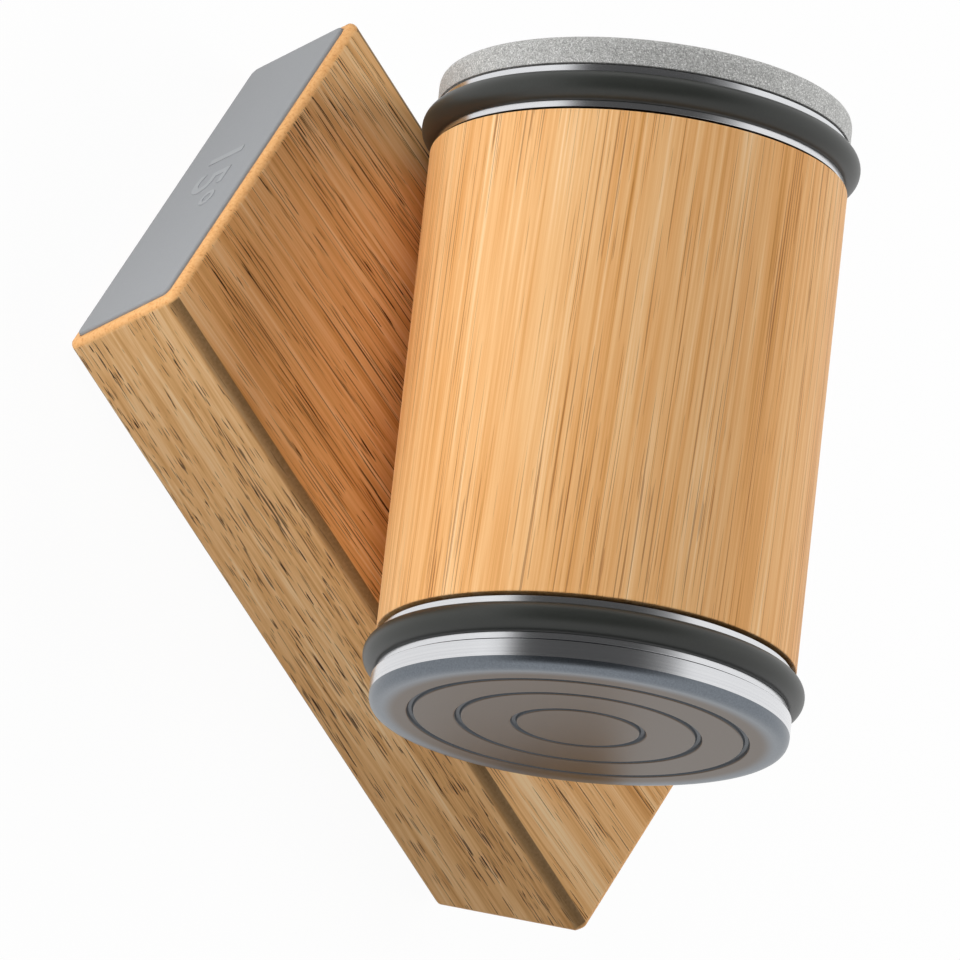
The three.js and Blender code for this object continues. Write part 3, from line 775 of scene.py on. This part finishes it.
def disc_profile(node, rim, groove_shares):
    """Disc from its blind hole round the rim to the middle of its face, and the finish of each row of quads.

    Finish 0 is the band, 1 the rounding and the face, which carries a painted reflection of the wood, and 2
    a groove, painted darker as shade. Both ends of the roller are alike, so the diamond end's hub and stud
    serve for either disc.
    """
    _, face, _, outside = span(node)
    near = span("hub_diamond")[1] + disc_seam
    hole = span("stud_diamond")[3] + fit
    corners = [(hole, near + hole_depth), (hole, near), (outside, near), (outside, face)]
    easing = [0, small_edge, small_edge, rim]
    for share in groove_shares:
        line = share * outside
        corners += [
            (line + groove_width / 2, face),
            (line + groove_width / 4, face - groove_depth),
            (line - groove_width / 4, face - groove_depth),
            (line - groove_width / 2, face),
        ]
        easing += [groove_edge] * 4
    corners.append((face_middle, face))
    profile = eased(corners, [*easing, 0])
    radius, place = (profile[1:] + profile[:-1]).T / 2
    zones = (place > face - rim).astype(int)
    for share in groove_shares:
        zones[np.abs(radius - share * outside) < groove_width / 2 - groove_edge / 2] = 2
    return profile, zones


ends = [end_of("15"), end_of("20")]
block_rings, painted_edge_shade, end_shade = (
    np.array(low_end + high_end[::-1]) for low_end, high_end in zip(*map(end_rings, ends))
)
block_shades = {"painted_edge_shade": painted_edge_shade, "end_shade": end_shade}
block = piece("block", block_rings, [block_oak], capped=True, shades=block_shades)
fitted(block, "block", "block_oak", "block_body")

for end in ends:
    pad = slab(
        "pad_" + end["label"] + "_skin",
        end,
        pad_margin,
        pad_corner,
        pad_proud - pad_thick,
        pad_proud,
        pad_edge,
        [silicone],
    )
    fitted(pad, "block", "end_pad", "pad_" + end["label"])
    fitted(numerals(end, [silicone_painted_highlight]), "block", "end_pad")

foot_low, foot_high = (np.array(corner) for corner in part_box("foot_pad"))
block_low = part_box("block_body")[0][2]
foot_seat = {
    "centre": np.append((foot_low + foot_high)[:2] / 2, block_low),
    "out": -upward,
    "up": np.array([0.0, 1.0, 0.0]),
    "sideways": np.array([1.0, 0.0, 0.0]),
    "length": foot_high[0] - foot_low[0],
    "height": foot_high[1] - foot_low[1],
}
foot = slab("foot", foot_seat, 0, foot_corner, 0, block_low, foot_edge, [foot_rubber])
fitted(foot, "block", "foot", "foot_pad")

fitted(turned("oak_sleeve", sleeve_profile(), [sleeve_oak], joined=True), "handle", "sleeve_oak", "sleeve")

for label, side in (("diamond", 1), ("honing", -1)):
    profile, zones = hub_profile(label)
    hub = turned("rim_hub_" + label, profile, [hub_metal, gap_shade_steel], side, joined=True, zones=zones)
    fitted(hub, "wheels", "hub_metal", "hub_" + label)
    tyre = turned("ring_tyre_" + label, tyre_profile(label), [tyre_rubber], side, joined=True)
    fitted(tyre, "wheels", "tyre_rubber", "tyre_" + label)
    screw = stud("threaded_stud_" + label, "stud_" + label, side, [plain_steel])
    fitted(screw, label + "_stud", "plain_steel", "stud_" + label)

profile, zones = disc_profile("honing_disc", honing_rim, groove_radius_shares)
honing_finishes = [rim_metal, blasted_steel_painted_reflection, groove_shade_steel]
disc = turned("steel_honing_disc", profile, honing_finishes, -1, capped=True, zones=zones)
fitted(disc, "honing_grinder", "honing_steel", "honing_disc")

profile, _ = disc_profile("diamond_disc", diamond_rim, [])
disc = turned("coated_diamond_disc", profile, [grit], 1, capped=True)
fitted(disc, "diamond_grinder", "diamond_coat", "diamond_disc")


# Floor, light and camera

# A long lens, fitted to the block's corners in the photograph
view_right = Vector((0.4810, 0.4261, 0.7662))  # direction that runs right in the picture
view_down = Vector((0.7447, -0.6597, -0.1007))
scale = 7.125 / mm  # pixels to a metre at the block
frame_pixels = 960
block_pixel = Vector((472.1, 477.8))  # where the middle of the block's top shows
lens = 680
sensor = 36
far_limit = 20

forward = view_right.cross(view_down).normalized()
view_right = (view_right - forward * view_right.dot(forward)).normalized()
view_up = view_right.cross(forward)
distance = lens / sensor * frame_pixels / scale
block_top = Vector((0, 0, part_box("block_body")[1][2]))
frame_middle = Vector((frame_pixels / 2, frame_pixels / 2))
off = (frame_middle - block_pixel) / scale
target = block_top + view_right * off.x - view_up * off.y
camera = linked("camera", bpy.data.cameras.new("camera"))
camera.data.lens = lens
camera.data.sensor_width = sensor
camera.data.clip_end = far_limit
turn = Matrix((view_right, view_up, -forward)).transposed()
camera.matrix_world = Matrix.Translation(target - forward * distance) @ turn.to_4x4()
bpy.context.scene.camera = camera

# Floor and world: what is seen and mirrored is white, and what lights the object is less
floor_size = 6.0
glow_level = 0.62
glow_share = 0.45
seen_share = 0.96
soft_level = 0.05

# A dark card beside the camera, which only mirrors see
card_direction = Vector((-0.8, -0.16, 0.54)).normalized()
card_distance = 0.5
card_size = 1.7
card_fade = 0.2  # height over which it fades to light where it meets the floor
card_centre = target + card_direction * card_distance


def seen_or_mirrored(tree):
    """1 for rays from the camera, from a mirror or through glass, and 0 for rays that light the object."""
    rays = add(tree, "ShaderNodeLightPath")
    seen = rays.outputs["Is Camera Ray"]
    for name in ("Is Glossy Ray", "Is Transmission Ray"):
        seen = add(tree, "ShaderNodeMath", {0: seen, 1: rays.outputs[name]}, operation="MAXIMUM").outputs[0]
    return seen


def sheet_of(name, centre, direction, size, finish):
    """A flat square backdrop that faces along a direction."""
    turn = Vector(direction).to_track_quat("Z", "Y").to_matrix()
    corners = [(-1, -1), (1, -1), (1, 1), (-1, 1)]
    points = [Vector(centre) + turn @ Vector((x, y, 0)) * size / 2 for x, y in corners]
    mesh = bpy.data.meshes.new(name)
    mesh.from_pydata(points, [], [(0, 1, 2, 3)])
    made = linked(name, mesh, [finish])
    return made


def paper():
    """White paper on a light table: it glows a little, and looks white where no shadow falls on it."""
    made, tree, shader = finish_of("white_paper", Roughness=0.9)
    shader.inputs["Base Color"].default_value = linear("#f7f7f6")
    seen = seen_or_mirrored(tree)
    strength = sums(tree, (seen, 1 - glow_level, 0.0), start=glow_level)
    share = sums(tree, (seen, seen_share - glow_share, 0.0), start=glow_share)
    glow = add(tree, "ShaderNodeEmission", {"Color": linear("#ffffff"), "Strength": strength})
    mixed = add(tree, "ShaderNodeMixShader", {0: share, 1: shader.outputs["BSDF"], 2: glow.outputs[0]})
    output = next(node for node in tree.nodes if node.type == "OUTPUT_MATERIAL")
    tree.links.new(mixed.outputs[0], output.inputs["Surface"])
    return made


def card_material():
    """Dark card that fades to light at its edges and near the floor, for soft bounds in the metal."""
    made, tree = blank("dark_card")
    place = add(tree, "ShaderNodeTexCoord").outputs["Object"]
    off = add(tree, "ShaderNodeVectorMath", {0: place, 1: tuple(card_centre)}, operation="DISTANCE")
    share = {0: off.outputs["Value"], 1: card_size / 2}
    share = add(tree, "ShaderNodeMath", share, operation="DIVIDE").outputs[0]
    up = add(tree, "ShaderNodeSeparateXYZ", {"Vector": place}).outputs["Z"]
    low = sums(tree, (up, -1 / card_fade, card_fade))
    share = add(tree, "ShaderNodeMath", {0: share, 1: low}, operation="MAXIMUM").outputs[0]
    stops = [(0.0, 0.085), (0.4, 0.09), (0.65, 0.3), (1.0, 0.95)]
    tones = add(tree, "ShaderNodeValToRGB", {"Fac": share}, stops=stops)
    glow = add(tree, "ShaderNodeEmission", {"Color": tones.outputs["Color"], "Strength": 1.0})
    add(tree, "ShaderNodeOutputMaterial", {"Surface": glow.outputs[0]})
    return made


def lamp(name, place, facing, width, height, watts):
    """Soft lamp of a size and place in metres, which mirrors and the camera don't see."""
    light = bpy.data.lights.new(name, "AREA")
    light.shape = "RECTANGLE"
    light.size = width
    light.size_y = height
    light.energy = watts
    made = linked(name, light)
    turn = (-Vector(facing)).to_track_quat("Z", "Y").to_matrix().to_4x4()
    made.matrix_world = Matrix.Translation(place) @ turn
    made.visible_camera = False
    made.visible_glossy = False


sheet_of("floor", (0, 0, 0), (0, 0, 1), floor_size, paper())
card = sheet_of("card", card_centre, -card_direction, card_size, card_material())
card.visible_camera = False
card.visible_diffuse = False
card.visible_transmission = False
card.visible_shadow = False

high = block_top.z
lamp("overhead", (0.6, 0.54, 0.89 + high), (-0.5, -0.45, -0.74), width=1.0, height=1.0, watts=11.2)
lamp("high_left", (-0.93, 0.14, 0.73 + high), (0.78, -0.12, -0.61), width=0.8, height=0.8, watts=5.9)
lamp("low_strip", (-0.22, -0.13, 0.018), (0.86, 0.5, 0), width=0.25, height=0.03, watts=0.35)

world = bpy.data.worlds.new("studio")
world.use_nodes = True
tree = world.node_tree
tree.nodes.clear()
soft, white = (
    add(tree, "ShaderNodeBackground", {"Color": linear("#ffffff"), "Strength": level}).outputs[0]
    for level in (soft_level, 1.0)
)
mixed = add(tree, "ShaderNodeMixShader", {0: seen_or_mirrored(tree), 1: soft, 2: white})
add(tree, "ShaderNodeOutputWorld", {"Surface": mixed.outputs[0]})
bpy.context.scene.world = world
bpy.context.scene.view_settings.view_transform = "Standard"
